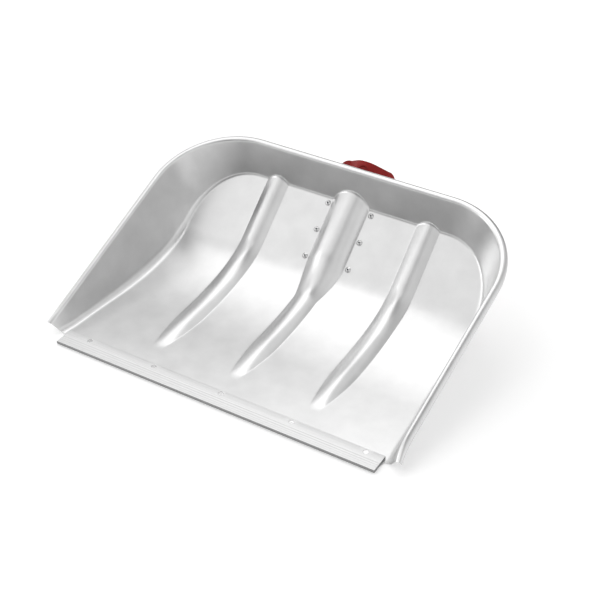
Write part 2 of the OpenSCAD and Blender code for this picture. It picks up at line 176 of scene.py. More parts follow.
# Aluminium sheet, cold rolled and pressed: a satin grey metal with soft, faintly cloudy reflections
def rolledAluminium():
    material, tree = newMaterial("aluminium sheet, rolled and pressed")
    place = addNode(tree, "ShaderNodeTexCoord").outputs["Object"]
    cloud = addNode(tree, "ShaderNodeTexNoise", inputs={   # uneven sheen, blotches about 26 mm across
        "Vector": place, "Scale": 1 / (26 * mm), "Detail": 3.0}).outputs["Fac"]
    stretch = addNode(tree, "ShaderNodeMapping", inputs={   # rolling lines, drawn at 0.9 mm so that they show
        "Vector": place, "Scale": (1 / (0.9 * mm), 1 / (60 * mm), 1 / (60 * mm))}).outputs["Vector"]
    lines = addNode(tree, "ShaderNodeTexNoise", inputs={
        "Vector": stretch, "Scale": 1.0, "Detail": 2.0}).outputs["Fac"]
    grit = addNode(tree, "ShaderNodeTexNoise", inputs={   # satin grain, drawn at 1.6 mm so that it shows
        "Vector": place, "Scale": 1 / (1.6 * mm), "Detail": 2.0}).outputs["Fac"]
    share = addNode(tree, "ShaderNodeMapRange", inputs={
        "Value": cloud, "From Min": 0.3, "From Max": 0.7}).outputs["Result"]
    colour = addNode(tree, "ShaderNodeMix", {"data_type": "RGBA"}, {
        0: share, 6: hexColour("#d5d5d5"), 7: hexColour("#dddddd")}).outputs[2]
    rubbed = addNode(tree, "ShaderNodeMath", {"operation": "ADD"}, {0: cloud, 1: grit}).outputs[0]
    sheen = addNode(tree, "ShaderNodeMapRange", inputs={
        "Value": rubbed, "From Min": 0.7, "From Max": 1.3, "To Min": 0.28, "To Max": 0.32}).outputs["Result"]
    bump = addNode(tree, "ShaderNodeBump", inputs={
        "Strength": 0.06, "Distance": 0.05 * mm, "Height": lines}).outputs["Normal"]
    shader = addNode(tree, "ShaderNodeBsdfPrincipled", inputs={
        "Base Color": colour, "Roughness": sheen, "Metallic": 1.0, "Normal": bump}).outputs["BSDF"]
    addNode(tree, "ShaderNodeOutputMaterial", inputs={"Surface": shader})
    return material


# Aluminium bar, drawn through a die: the same metal with fine streaks along its length
def drawnAluminium():
    material, tree = newMaterial("aluminium bar, drawn")
    place = addNode(tree, "ShaderNodeTexCoord").outputs["Object"]
    stretch = addNode(tree, "ShaderNodeMapping", inputs={   # die lines, 1.3 mm apart
        "Vector": place, "Scale": (1 / (160 * mm), 1 / (1.3 * mm), 1 / (1.3 * mm))}).outputs["Vector"]
    streaks = addNode(tree, "ShaderNodeTexNoise", inputs={
        "Vector": stretch, "Scale": 1.0, "Detail": 3.0, "Roughness": 0.6}).outputs["Fac"]
    share = addNode(tree, "ShaderNodeMapRange", inputs={
        "Value": streaks, "From Min": 0.35, "From Max": 0.65}).outputs["Result"]
    colour = addNode(tree, "ShaderNodeMix", {"data_type": "RGBA"}, {
        0: share, 6: hexColour("#dcdcdc"), 7: hexColour("#e8e8e8")}).outputs[2]
    sheen = addNode(tree, "ShaderNodeMapRange", inputs={
        "Value": streaks, "From Min": 0.3, "From Max": 0.7, "To Min": 0.4, "To Max": 0.52}).outputs["Result"]
    bump = addNode(tree, "ShaderNodeBump", inputs={
        "Strength": 0.2, "Distance": 0.05 * mm, "Height": streaks}).outputs["Normal"]
    shader = addNode(tree, "ShaderNodeBsdfPrincipled", inputs={
        "Base Color": colour, "Roughness": sheen, "Metallic": 1.0, "Normal": bump}).outputs["BSDF"]
    addNode(tree, "ShaderNodeOutputMaterial", inputs={"Surface": shader})
    return material


# Aluminium bar, sawn at the ends and scuffed along its leading face: dull and scratched, and darker as painted
# shade that stands in for the shadowed floor close under the leading face
def sawnShadedAluminium():
    material, tree = newMaterial("aluminium bar, sawn and scuffed, with painted shade")
    place = addNode(tree, "ShaderNodeTexCoord").outputs["Object"]
    scuffs = addNode(tree, "ShaderNodeTexNoise", inputs={   # scuffs, about 2 mm
        "Vector": place, "Scale": 1 / (2 * mm), "Detail": 3.0}).outputs["Fac"]
    share = addNode(tree, "ShaderNodeMapRange", inputs={
        "Value": scuffs, "From Min": 0.3, "From Max": 0.7}).outputs["Result"]
    # painted shade: a grey well below the bar's own metal, so that the leading face reads as shaded
    colour = addNode(tree, "ShaderNodeMix", {"data_type": "RGBA"}, {
        0: share, 6: hexColour("#8e8e8e"), 7: hexColour("#a2a2a2")}).outputs[2]
    sheen = addNode(tree, "ShaderNodeMapRange", inputs={
        "Value": scuffs, "From Min": 0.3, "From Max": 0.7, "To Min": 0.5, "To Max": 0.65}).outputs["Result"]
    bump = addNode(tree, "ShaderNodeBump", inputs={
        "Strength": 0.2, "Distance": 0.05 * mm, "Height": scuffs}).outputs["Normal"]
    shader = addNode(tree, "ShaderNodeBsdfPrincipled", inputs={
        "Base Color": colour, "Roughness": sheen, "Metallic": 1.0, "Normal": bump}).outputs["BSDF"]
    addNode(tree, "ShaderNodeOutputMaterial", inputs={"Surface": shader})
    return material


# Aluminium rivet wire, upset: as pale as the sheet but shinier, with the marks of the setting tool
def rivetAluminium():
    material, tree = newMaterial("aluminium rivet, upset")
    place = addNode(tree, "ShaderNodeTexCoord").outputs["Object"]
    marks = addNode(tree, "ShaderNodeTexNoise", inputs={   # marks of the setting tool, 1 mm
        "Vector": place, "Scale": 1 / (1.0 * mm), "Detail": 2.0}).outputs["Fac"]
    share = addNode(tree, "ShaderNodeMapRange", inputs={
        "Value": marks, "From Min": 0.3, "From Max": 0.7}).outputs["Result"]
    colour = addNode(tree, "ShaderNodeMix", {"data_type": "RGBA"}, {
        0: share, 6: hexColour("#d0d0d0"), 7: hexColour("#dedede")}).outputs[2]
    sheen = addNode(tree, "ShaderNodeMapRange", inputs={
        "Value": marks, "From Min": 0.3, "From Max": 0.7, "To Min": 0.14, "To Max": 0.22}).outputs["Result"]
    bump = addNode(tree, "ShaderNodeBump", inputs={
        "Strength": 0.15, "Distance": 0.05 * mm, "Height": marks}).outputs["Normal"]
    shader = addNode(tree, "ShaderNodeBsdfPrincipled", inputs={
        "Base Color": colour, "Roughness": sheen, "Metallic": 1.0, "Normal": bump}).outputs["BSDF"]
    addNode(tree, "ShaderNodeOutputMaterial", inputs={"Surface": shader})
    return material


# Steel, zinc plated: a darker, faintly blue and duller metal with a fine spangle
def platedSteel():
    material, tree = newMaterial("steel, zinc plated")
    place = addNode(tree, "ShaderNodeTexCoord").outputs["Object"]
    spangle = addNode(tree, "ShaderNodeTexNoise", inputs={   # plating grain, 0.7 mm
        "Vector": place, "Scale": 1 / (0.7 * mm), "Detail": 2.0}).outputs["Fac"]
    share = addNode(tree, "ShaderNodeMapRange", inputs={
        "Value": spangle, "From Min": 0.3, "From Max": 0.7}).outputs["Result"]
    colour = addNode(tree, "ShaderNodeMix", {"data_type": "RGBA"}, {
        0: share, 6: hexColour("#64676a"), 7: hexColour("#7e8184")}).outputs[2]
    sheen = addNode(tree, "ShaderNodeMapRange", inputs={
        "Value": spangle, "From Min": 0.3, "From Max": 0.7, "To Min": 0.42, "To Max": 0.55}).outputs["Result"]
    bump = addNode(tree, "ShaderNodeBump", inputs={
        "Strength": 0.15, "Distance": 0.04 * mm, "Height": spangle}).outputs["Normal"]
    shader = addNode(tree, "ShaderNodeBsdfPrincipled", inputs={
        "Base Color": colour, "Roughness": sheen, "Metallic": 1.0, "Normal": bump}).outputs["BSDF"]
    addNode(tree, "ShaderNodeOutputMaterial", inputs={"Surface": shader})
    return material


# Polypropylene, injection moulded: deep red with a fine matt grain and a soft sheen
def mouldedPlastic():
    material, tree = newMaterial("polypropylene, injection moulded")
    place = addNode(tree, "ShaderNodeTexCoord").outputs["Object"]
    flow = addNode(tree, "ShaderNodeTexNoise", inputs={   # uneven colour where the plastic flowed, 18 mm
        "Vector": place, "Scale": 1 / (18 * mm), "Detail": 2.0}).outputs["Fac"]
    grain = addNode(tree, "ShaderNodeTexNoise", inputs={   # mould texture, drawn at 0.9 mm so that it shows
        "Vector": place, "Scale": 1 / (0.9 * mm), "Detail": 2.0}).outputs["Fac"]
    share = addNode(tree, "ShaderNodeMapRange", inputs={
        "Value": flow, "From Min": 0.3, "From Max": 0.7}).outputs["Result"]
    colour = addNode(tree, "ShaderNodeMix", {"data_type": "RGBA"}, {
        0: share, 6: hexColour("#8a1615"), 7: hexColour("#981e1c")}).outputs[2]
    sheen = addNode(tree, "ShaderNodeMapRange", inputs={
        "Value": grain, "From Min": 0.3, "From Max": 0.7, "To Min": 0.45, "To Max": 0.6}).outputs["Result"]
    bump = addNode(tree, "ShaderNodeBump", inputs={
        "Strength": 0.25, "Distance": 0.08 * mm, "Height": grain}).outputs["Normal"]
    shader = addNode(tree, "ShaderNodeBsdfPrincipled", inputs={
        "Base Color": colour, "Roughness": sheen, "Normal": bump,
        "IOR": 1.49, "Specular IOR Level": 0.25}).outputs["BSDF"]
    addNode(tree, "ShaderNodeOutputMaterial", inputs={"Surface": shader})
    return material


sheetMetal = rolledAluminium()
stripMetal = drawnAluminium()
# the scuffed metal is darkened as painted shade on the strip's leading face
scuffedShadedMetal = sawnShadedAluminium()
rivetMetal = rivetAluminium()
steel = platedSteel()
redPlastic = mouldedPlastic()
print("materials made")


# The pressed pan. Millimetres, with y from the front of the wear strip; shiftY takes it to the frame.
pan = {
    "width": 500, "length": 343, "rearWall": 50, "tipHeight": 22.5, "taper": 0.9, "cornerR": 100,
    "frontY": 13.5, "sheet": 1.5, "rise": 88.4, "bendR": 140, "bellyRun": 120, "riseAngle": 40.5,
    "sideLean": 14, "rearLean": 1,
    "sideFold": 9, "deepFold": 12, "deepRun": 110, "rearFold": 6,            # radii between walls and plate
    "flange": 9.2, "lipEdge": 0.6, "rimBend": 3.5, "lipBend": 5.5,           # rolled rim
    "tipRun": 30, "tipOut": 4.8, "tipDown": 5.6, "lipOut": 1, "lipDown": 3,  # front ends of the side walls
    "ribGap": 12.8, "ribCrest": 6, "ribHalf": 16, "ribRound": 1.0, "ribFoot": 0.02, "leastCrest": 0.01,
    "ribTip": 62, "ribFlat": 47, "tipShare": 0.5,                            # front ends of the ribs
    "humpCrest": 14, "humpHalf": 27, "humpFoot": 0.7, "humpRun": 92, "neckRun": 46,
    "rivetX": 32, "rivetRows": 3, "rivetStart": 7.503, "rivetPitch": 38.299, "rivetHole": 4.2, "holeReach": 4,
    # how finely the sheet is divided and shaded
    "lipSteps": 8, "bendSteps": 6, "foldSteps": 8, "wallShares": (0.04, 0.35, 0.65, 0.96),
    "frontRows": 8, "ribRows": 20, "rearRows": 34, "cornerRows": 40, "ribLines": 21, "humpLines": 33,
    "flatShares": (0.015, 0.06, 0.25, 0.5, 0.75, 0.94, 0.985),
    "settleSteps": 12, "probe": 0.05, "smoothAngle": 24,
}
foldY = pan["length"] - pan["rearWall"] * tanD(pan["rearLean"])
bendY = foldY - pan["rise"] * cosD(pan["riseAngle"])
bellyY = bendY - pan["bendR"] * sinD(pan["riseAngle"])
bendZ = pan["sheet"] + pan["bendR"] * (1 - cosD(pan["riseAngle"]))
foldZ = bendZ + pan["rise"] * sinD(pan["riseAngle"])
rimZ = foldZ + pan["rearWall"]
rimSlope = np.degrees(np.arctan((rimZ - pan["tipHeight"]) / (pan["length"] - pan["frontY"])))
rimDown = np.array([0, sinD(rimSlope), -cosD(rimSlope)])
rimHalf = pan["width"] / 2 - pan["flange"]
cornerX = rimHalf - pan["cornerR"] * cosD(pan["taper"])
sideStart = pan["cornerR"] * (1 + sinD(pan["taper"]))
ribX = cornerX - pan["ribGap"] - pan["ribHalf"]
ribRun = bellyY - pan["ribFlat"] - pan["ribTip"]
neckRearY = foldY - pan["humpRun"] * cosD(pan["riseAngle"])
neckFrontY = neckRearY - pan["neckRun"]
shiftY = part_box("blade_pan")[0].y / mm - pan["frontY"]


# the bend eases into the flat front: a parabola that leaves the rise where the CAD's arc does
bendRun = pan["bendR"] * tanD(pan["riseAngle"] / 2) * cosD(pan["riseAngle"])
kneeY = bendY - bendRun


def bendShare(y):
    run, spread = pan["bellyRun"], bendRun - pan["bellyRun"]
    ahead = np.clip(y - kneeY, -run, bendRun)
    return (np.sqrt(run ** 2 + spread * (run + ahead)) - run) / spread


def plateZ(y):
    bent = pan["sheet"] + (bendZ - pan["sheet"]) * bendShare(y) ** 2
    return bent + np.maximum(y - bendY, 0) * tanD(pan["riseAngle"])


def plateTilt(y):
    t = bendShare(y)
    return np.degrees(np.arctan((bendZ - pan["sheet"]) * t / (pan["bellyRun"] * (1 - t) + bendRun * t)))


# a round ridge with foot fillets, at distance d from its middle
def ridge(d, crest, half, foot):
    topR = (half ** 2 / crest + crest) / 2 - foot
    touch = half * topR / (topR + foot)
    top = crest - topR + np.sqrt(np.maximum(topR ** 2 - d ** 2, 0))
    fillet = foot - np.sqrt(np.maximum(foot ** 2 - (half - d) ** 2, 0))
    return np.where(d >= half, 0, np.where(d <= touch, top, fillet))


# a low pressed rib: round across, with tight feet
def bead(d, crest, half):
    c, foot = pan["ribRound"], pan["ribFoot"]
    share = 1 - (np.sqrt((d / half) ** 2 + c * c) - c) / (math.sqrt(1 + c * c) - c)
    return crest * (share + np.sqrt(share ** 2 + foot ** 2)) / 2


def grown(y):
    return sinD(90 * np.clip((y - pan["ribTip"]) / ribRun, 0, 1))


def necked(y):
    return np.clip((y - neckFrontY) / (neckRearY - neckFrontY), 0, 1)


def sideHalf(y):
    return pan["ribHalf"] * (pan["tipShare"] + (1 - pan["tipShare"]) * grown(y))


def centreHalf(y):
    return sideHalf(y) + (pan["humpHalf"] - pan["ribHalf"]) * necked(y)


def floorZ(x, y):
    neck = necked(y)
    sideCrest = np.maximum(pan["leastCrest"], pan["ribCrest"] * grown(y))
    centreCrest = sideCrest + (pan["humpCrest"] - pan["ribCrest"]) * eased(neck)
    sideRib = bead(np.abs(np.abs(x) - ribX), sideCrest, sideHalf(y))
    centreRib = bead(np.abs(x), centreCrest, centreHalf(y))
    hump = ridge(np.abs(x), centreCrest, centreHalf(y), pan["humpFoot"])
    ribs = np.maximum(sideRib, centreRib * (1 - neck) + hump * neck)
    return plateZ(y) + ribs / cosD(plateTilt(y))


# a station on the rim: its point, its level direction into the pan, the wall's lean and the fold's radius
def stationAt(x, s, turn):
    point = np.array([x, pan["length"] - s * cosD(rimSlope), rimZ - s * sinD(rimSlope)])
    into = unit(np.array([-np.sign(x) * cosD(turn), -sinD(turn) * cosD(rimSlope), 0]))
    side, rear = cosD(turn) ** 2, sinD(turn) ** 2
    lean = tanD(pan["sideLean"]) * side + tanD(pan["rearLean"]) * rear
    deep = np.clip((point[1] - pan["ribTip"]) / pan["deepRun"], 0, 1)   # the side fold widens towards the rear
    sideFold = pan["sideFold"] + (pan["deepFold"] - pan["sideFold"]) * eased(deep)
    return point, into, lean, sideFold * side + pan["rearFold"] * rear


def sideStation(y):
    s = (pan["length"] - y) / cosD(rimSlope)
    return stationAt(-(rimHalf - (s - sideStart) * tanD(pan["taper"])), s, 0)


def arcStation(turn):
    return stationAt(-cornerX - pan["cornerR"] * cosD(turn), pan["cornerR"] * (1 - sinD(turn)), turn)


# points of a rounded corner at v, between the unit directions a and b
def cornerArc(v, a, b, r, count):
    half = np.arccos(np.clip(a @ b, -1, 1)) / 2
    middle = v + unit(a + b) * r / np.sin(half)
    p, q = v + a * r / np.tan(half) - middle, v + b * r / np.tan(half) - middle
    sweep = np.pi - 2 * half
    t = np.linspace(0, 1, count + 1)[:, None]
    return middle + (p * np.sin(sweep * (1 - t)) + q * np.sin(sweep * t)) / np.sin(sweep)


# lip, flange, wall and fold at a station, with one more point on the plate
def sectionAt(station):
    rim, into, lean, foldR = station
    fall = unit(np.array([into[0] * lean, into[1] * lean, -1]))
    out = unit(np.array([-into[0], -into[1], -into[1] * tanD(rimSlope)]))
    edge = rim + out * pan["flange"]
    drop = 0.0
    for _ in range(pan["settleSteps"]):              # settles where the wall meets the plate
        drop = rim[2] - floorZ(rim[0] + into[0] * lean * drop, rim[1] + into[1] * lean * drop)
    foot = rim + np.array([into[0] * lean * drop, into[1] * lean * drop, -drop])
    ahead = floorZ(foot[0] + into[0], foot[1] + into[1]) - floorZ(foot[0], foot[1])
    inward = unit(np.array([into[0], into[1], ahead]))
    fold = cornerArc(foot, -fall, inward, foldR, pan["foldSteps"])
    lip = cornerArc(edge, rimDown, -out, pan["lipBend"], pan["lipSteps"])
    bend = cornerArc(rim, out, fall, pan["rimBend"], pan["bendSteps"])
    wall = bend[-1] + (fold[0] - bend[-1]) * np.array(pan["wallShares"])[:, None]
    lipEnd = edge + rimDown * (pan["lipBend"] + pan["lipEdge"])
    return np.vstack([lipEnd, lip, bend, wall, fold, fold[-1] + inward * foldR / pan["foldSteps"]])


# lengthwise lines of the sheet at one row: dense over the ribs, a few on the flats between
sideLines = sinD(np.linspace(-90, 90, pan["ribLines"]))
centreLines = sinD(np.linspace(-90, 90, pan["humpLines"]))
flatLines = np.array(pan["flatShares"])


def linesAt(y, left):
    side, centre = sideHalf(y), centreHalf(y)
    outer = left + (-ribX - side - left) * flatLines
    inner = -ribX + side + (ribX - side - centre) * flatLines
    leftHalf = np.concatenate([outer, sideLines * side - ribX, inner])
    return np.concatenate([leftHalf, centreLines * centre, -leftHalf[::-1]])


# n steps from start to end, without start
def steps(start, end, n):
    return np.linspace(start, end, n + 1)[1:]


# the front ends of the side walls are cut square to the rim, and flare outwards and down
def tippedBand(band):
    flat = pan["lipSteps"] + 2                       # where the flange ends and the wall begins
    rim, foot = band[:, flat:flat + 1], band[:, -1:]
    wallHeight = rim[..., 2] - foot[..., 2]
    behind = np.clip((rim[..., 1] - pan["frontY"]) / pan["tipRun"], 0, 1)
    height = np.clip((band[..., 2] - foot[..., 2]) / wallHeight, 0, 1)
    beyond = np.clip((np.abs(band[..., 0]) - np.abs(rim[..., 0])) / pan["flange"], 0, 1)
    onWall = np.arange(len(band[0])) >= flat
    flare = (1 - behind) ** 2
    rimShare = np.where(onWall, height, 1 - beyond)
    lipShare = np.where(onWall, 0, beyond)
    setBack = np.where(onWall, (1 - height) * wallHeight * tanD(rimSlope), 0)
    tipped = band.copy()
    tipped[..., 0] += np.sign(band[..., 0]) * flare * (pan["tipOut"] * rimShare + pan["lipOut"] * lipShare)
    tipped[..., 1] += setBack * (1 - behind)
    tipped[..., 2] -= flare * (pan["tipDown"] * rimShare + pan["lipDown"] * lipShare)
    return tipped


def pressedSheet():
    sideEnd = pan["length"] - sideStart * cosD(rimSlope)
    ribStart, ribEnd = pan["ribTip"] - 1, pan["ribTip"] + ribRun     # a row just in front of the ribs' tips
    sideY = np.concatenate([
        [pan["frontY"]], steps(pan["frontY"], ribStart, pan["frontRows"]),
        steps(ribStart, ribEnd, pan["ribRows"]), steps(ribEnd, sideEnd, pan["rearRows"])])
    left = [sideStation(y) for y in sideY] + [arcStation(t) for t in steps(0, 90, pan["cornerRows"])]
    rows = len(left)
    rear = [stationAt(x, 0, 90) for x in linesAt(foldY, -cornerX)]
    flip = np.array([-1, 1, 1])
    right = [(p * flip, d * flip, lean, r) for p, d, lean, r in reversed(left)]
    sections = np.array([sectionAt(s) for s in left + rear + right])
    lastU, lastK = len(sections) - 1, sections.shape[1] - 2
    along = np.gradient(sections, axis=0)[:, :-1]
    across = np.empty_like(along)
    across[:, 1:] = sections[:, 2:] - sections[:, :-2]
    across[:, 0] = sections[:, 1] - sections[:, 0]
    bandNormals = unit(np.cross(across, along))
    bandNormals[[0, lastU], :, 1] = 0                # the front edge stays square
    bandNormals = unit(bandNormals)
    band = tippedBand(sections[:, :-1])
    plate, plateNormals, h = [], [], pan["probe"]
    for r in range(rows - 1):
        y = sections[r, lastK, 1]
        x = linesAt(y, band[r, lastK, 0])
        plate.append(np.stack([x, np.full_like(x, y), floorZ(x, y)], 1))
        slope = np.stack([
            (floorZ(x - h, y) - floorZ(x + h, y)) / (2 * h),
            (floorZ(x, y - h) - floorZ(x, y + h)) / (2 * h) * (r > 0), np.ones_like(x)], 1)
        plateNormals.append(unit(slope))
    lineCount = len(plate[0])
    upper = np.vstack([band.reshape(-1, 3)] + plate)
    normals = np.vstack([bandNormals.reshape(-1, 3)] + plateNormals)
    points = np.vstack([upper, upper - pan["sheet"] * normals]) + np.array([0, shiftY, 0])
    bandCount, count = band.shape[0] * band.shape[1], len(upper)

    def inBand(u, k):
        return u * (lastK + 1) + k

    def inPlate(r, i):
        if i == 0:
            return inBand(r, lastK)
        if i == lineCount + 1:
            return inBand(lastU - r, lastK)
        if r == rows - 1:
            return inBand(r + i, lastK)
        return bandCount + r * lineCount + i - 1

    faces = [(inBand(u, k), inBand(u, k + 1), inBand(u + 1, k + 1), inBand(u + 1, k))
             for u in range(lastU) for k in range(lastK)]
    faces += [(inPlate(r, i), inPlate(r, i + 1), inPlate(r + 1, i + 1), inPlate(r + 1, i))
              for r in range(rows - 1) for i in range(lineCount + 1)]
    lower = [tuple(v + count for v in reversed(f)) for f in faces]
    edge = [inBand(0, k) for k in range(lastK + 1)] + [inPlate(0, i) for i in range(1, lineCount + 1)]
    edge += [inBand(lastU, k) for k in range(lastK, -1, -1)] + [inBand(u, 0) for u in range(lastU - 1, -1, -1)]
    border = [(b, a, a + count, b + count) for a, b in zip(edge, edge[1:])]
    faces = [tuple(reversed(f)) for f in faces + lower + border]
    return points, faces


# a from the rear fold up the rise, h square to it
def onPlate(x, a, h):
    angle = pan["riseAngle"]
    y, z = foldY + a * cosD(angle) - h * sinD(angle), foldZ + a * sinD(angle) + h * cosD(angle)
    return (x, y + shiftY, z)


up = (0, 0, 1)
plateUp = (0, -sinD(pan["riseAngle"]), cosD(pan["riseAngle"]))
rivetPlaces = [onPlate(s * pan["rivetX"], -pan["rivetStart"] - i * pan["rivetPitch"], 0)
               for i in range(pan["rivetRows"]) for s in (-1, 1)]
panPiece = newPiece("pressedPan", *pressedSheet(), sheetMetal, "pan_sheet", "blade_pan")
print("pan made:", len(panPiece.data.polygons), "faces")


# The drawn wear strip, rebated over the front of the plate
strip = {
    "half": 222.52, "width": 27, "thick": 5, "lap": 13.5, "bevel": 1.5, "edgeR": 0.5, "edgePoints": 5,
    "grooves": 4, "groovePitch": 3.5, "grooveDepth": 0.12, "grooveHalf": 0.9, "groovePoints": 9, "seat": 0.1,
    "stations": 41, "scuffShadeDepth": 0.9, "sawnDepth": 0.01, "smoothAngle": 35,
    "rivetLeft": 35, "rivetPitch": 97.01, "rivetCount": 5, "rivetEdge": 5, "rivetSmooth": 30,
    "headD": 7, "shankD": 4, "footSink": 1, "sink": 0.2, "hole": 0.1, "past": 1,
    "filedEdge": ((0.15, 0.15), (0.12, 0.04), (0.35, 0)),        # in from the head's edge, and down
    "dish": ((0.5, 0.06), (0, 0.08)),                            # share of the head's radius, and depth
}


def stripSection():
    step = strip["width"] - strip["lap"] - strip["seat"]
    low = pan["sheet"] + strip["seat"]
    top, r = strip["thick"], strip["edgeR"]
    line = [(strip["bevel"], 0), (step, 0), (step, low), (strip["width"], low)]
    for t in np.linspace(0, 90, strip["edgePoints"]):            # rear upper edge
        line.append((strip["width"] - r + r * cosD(t), top - r + r * sinD(t)))
    for i in range(strip["grooves"], 0, -1):                     # soft grooves, worn shallower than new
        for t in np.linspace(1, -1, strip["groovePoints"]):
            depth = strip["grooveDepth"] * (1 + math.cos(math.pi * t)) / 2
            line.append((i * strip["groovePitch"] + t * strip["grooveHalf"], top - depth))
    for t in np.linspace(90, 180, strip["edgePoints"]):          # front upper edge
        line.append((r + r * cosD(t), top - r + r * sinD(t)))
    line.append((0, strip["bevel"]))
    return line


def drawnStrip():
    line = stripSection()
    xs = np.linspace(-strip["half"], strip["half"], strip["stations"])
    points = [(x, y + shiftY, z) for x in xs for y, z in line]
    n = len(line)
    faces = [(a * n + i, a * n + (i + 1) % n, (a + 1) * n + (i + 1) % n, (a + 1) * n + i)
             for a in range(len(xs) - 1) for i in range(n)]
    faces += [tuple(range(n - 1, -1, -1)), tuple((len(xs) - 1) * n + i for i in range(n))]
    return points, faces


stripRivets = [(strip["rivetLeft"] - strip["half"] + i * strip["rivetPitch"],
                strip["width"] - strip["rivetEdge"] + shiftY, 0) for i in range(strip["rivetCount"])]
stripPiece = newPiece("drawnStrip", *drawnStrip(), stripMetal, "strip", "wear_strip")
headR, shankR = strip["headD"] / 2 + strip["hole"], strip["shankD"] / 2 + strip["hole"]
top, past = strip["thick"], strip["past"]            # the cutters stand out of the metal a little
sunkTop = [(0, -past), (shankR, -past), (shankR, top - headR + shankR), (headR, top), (headR, top + past),
           (0, top + past)]
cutOut(stripPiece, *merged([turned(sunkTop, place, up) for place in stripRivets]))
smoothShade(stripPiece, strip["smoothAngle"])
stripPiece.data.materials.append(scuffedShadedMetal)
for face in stripPiece.data.polygons:                # the leading face and the sawn ends: scuffed metal, darkened as painted shade
    middle = face.center / mm
    if middle.y - shiftY < strip["scuffShadeDepth"] or abs(middle.x) > strip["half"] - strip["sawnDepth"]:
        face.material_index = 1

# rivet holes in the pan: plain for the blind rivets, countersunk below for the strip's
holeR, reach = pan["rivetHole"] / 2, pan["holeReach"]
sinkR = strip["shankD"] / 2 + strip["footSink"] - strip["sink"] + strip["hole"]
plainHole = [(0, -reach), (holeR, -reach), (holeR, reach), (0, reach)]
sunkBelow = [(0, -past), (sinkR + past, -past), (sinkR, 0), (shankR, sinkR - shankR), (shankR, reach),
             (0, reach)]
cutOut(panPiece, *merged([turned(plainHole, place, plateUp) for place in rivetPlaces]
                         + [turned(sunkBelow, place, up) for place in stripRivets]))
smoothShade(panPiece, pan["smoothAngle"])
print("strip made, holes cut")


# Countersunk rivets of the strip, filed almost flush
def stripRivet():
    sink, shank = strip["sink"], strip["shankD"] / 2
    head, foot = strip["headD"] / 2 - sink, shank + strip["footSink"] - 2 * sink
    top = strip["thick"] - sink
    profile = [(0, sink), (foot, sink), (shank, sink + foot - shank), (shank, top - head + shank)]
    profile += [(head - inset, top - drop) for inset, drop in strip["filedEdge"]]
    return profile + [(head * share, top - depth) for share, depth in strip["dish"]]


for i, place in enumerate(stripRivets, 1):
    piece = newPiece("stripRivet%d" % i, *turned(stripRivet(), place, up),
                     rivetMetal, "rivet", "strip_rivet_%d" % i)
    smoothShade(piece, strip["rivetSmooth"])


# Blind rivets that hold the socket: domed head with a thin rolled rim, hollow shank, swelled tail
blind = {
    "headD": 8, "headH": 1.8, "shankD": 4, "hollow": 1.2, "seat": 0.1, "tail": -5.9, "tailR": 3, "tailH": 3,
    "soft": 0.2, "roll": 0.12, "rimLow": 0.1, "rimHigh": 0.245, "rimTop": 0.35,
    "domeInset": 0.45, "domePoints": 8, "mouth": 0.35,
    "mouthEdge": ((0.12, 0.05), (0, 0.2)),                       # out from the hollow, and down
    "sides": 40, "smoothAngle": 40,
    # the steel mandrel that stays inside: a bulb below, a broken end above
    "stemR": 1.1, "stemTop": 0.9, "stemEdge": (0.2, 0.15), "bulbR": 2, "bulbH": 2.4, "bulbEdge": (0.2, 0.3),
    "brokenEnd": ((0.5, 0.1), (0.35, 0.3), (0, 0.35)), "stemSides": 24, "stemSmooth": 30,
}


def blindRivet():
    headR, h, seat = blind["headD"] / 2, blind["headH"], blind["seat"]
    shank, inner, soft, roll = blind["shankD"] / 2, blind["hollow"], blind["soft"], blind["roll"]
    tail, tailR = blind["tail"], blind["tailR"]
    low, middle = tail - blind["tailH"], tail - blind["tailH"] / 2
    domeR = (headR ** 2 + h ** 2) / (2 * h)
    profile = [(inner, low), (shank - soft, low), (shank, low + soft), (tailR - soft, middle - soft),
               (tailR, middle + soft), (tailR, tail - soft), (tailR - soft, tail), (shank, tail), (shank, seat),
               (headR - roll, seat), (headR, seat + blind["rimLow"]), (headR, seat + blind["rimHigh"]),
               (headR - roll, seat + blind["rimTop"])]
    for r in np.linspace(headR - blind["domeInset"], inner + blind["mouth"], blind["domePoints"]):
        profile.append((r, seat + h - domeR + math.sqrt(domeR ** 2 - r ** 2)))
    top = profile[-1][1]
    return profile + [(inner + out, top - drop) for out, drop in blind["mouthEdge"]]


def brokenMandrel():
    low = blind["tail"] - blind["tailH"] - blind["seat"]
    stem, top, bulb = blind["stemR"], blind["stemTop"], blind["bulbR"]
    bulbIn, bulbDown = blind["bulbEdge"]
    stemIn, stemDown = blind["stemEdge"]
    bottom = low - blind["bulbH"]
    profile = [(0, bottom), (stem, bottom), (bulb - bulbIn, low - bulbDown), (bulb, low),
               (stem, low), (stem, top - stemDown), (stem - stemIn, top)]
    return profile + [(r, top - drop) for r, drop in blind["brokenEnd"]]


# a turned solid with a hole through it
def ring(profile, place, axis, sides):
    points, faces = turned(profile, place, axis, sides)
    last = (len(profile) - 1) * sides
    faces += [(last + i, last + (i + 1) % sides, (i + 1) % sides, i) for i in range(sides)]
    return points, faces


for i, place in enumerate(rivetPlaces, 1):
    piece = newPiece("blindRivet%d" % i, *ring(blindRivet(), place, plateUp, blind["sides"]),
                     rivetMetal, "rivet", "socket_rivet_%d" % i)
    smoothShade(piece, blind["smoothAngle"])
    piece = newPiece("brokenMandrel%d" % i, *turned(brokenMandrel(), place, plateUp, blind["stemSides"]),
                     steel, "steel", "rivet_mandrel_%d" % i)
    smoothShade(piece, blind["stemSmooth"])
print("rivets made")


